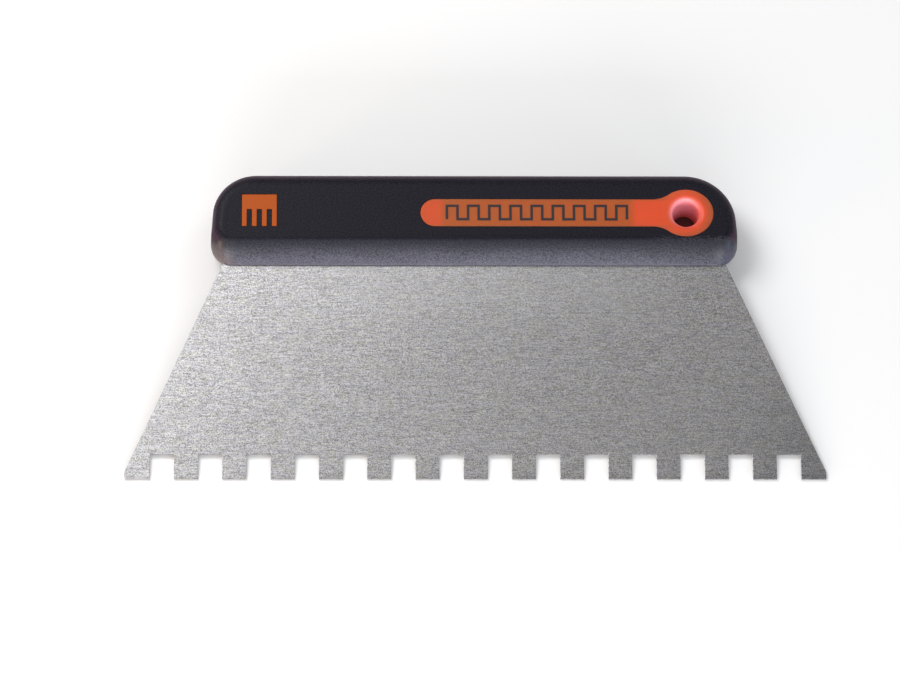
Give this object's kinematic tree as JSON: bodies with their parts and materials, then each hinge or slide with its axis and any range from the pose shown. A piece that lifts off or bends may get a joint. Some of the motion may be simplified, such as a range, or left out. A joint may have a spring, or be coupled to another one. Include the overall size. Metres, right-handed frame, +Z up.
{
  "type": "notched trowel",
  "caption": "Wide notched adhesive trowel: a trapezoidal brushed-steel blade with square notches, in a soft-grip bar handle with a bare orange stripe and a hanging hole.",
  "frame": {"origin": "middle of the footprint, on the surface that the tool lies on", "axes": "+X along the working edge, +Y from the teeth towards the handle, +Z up out of the face with the badge at the left end and the hanging hole at the right"},
  "size_m": [0.291, 0.1326, 0.022],
  "materials": {
    "blade_steel": "stainless steel, rolled and brushed along the working edge",
    "grip_soft": "black soft-touch grip, satin, lightly scuffed",
    "core_plastic": "orange moulded plastic, satin",
    "badge_plastic": "orange moulded plastic, matt",
    "rivet_metal": "plain, hidden inside the handle"
  },
  "bodies": {
    "root": {"blade": "blade_steel", "core_front": "core_plastic", "core_rear": "core_plastic", "grip": "grip_soft", "badge_front": "badge_plastic", "badge_rear": "badge_plastic", "rivet_1": "rivet_metal", "rivet_2": "rivet_metal", "rivet_3": "rivet_metal", "rivet_4": "rivet_metal", "rivet_5": "rivet_metal"}
  },
  "joints": []
}
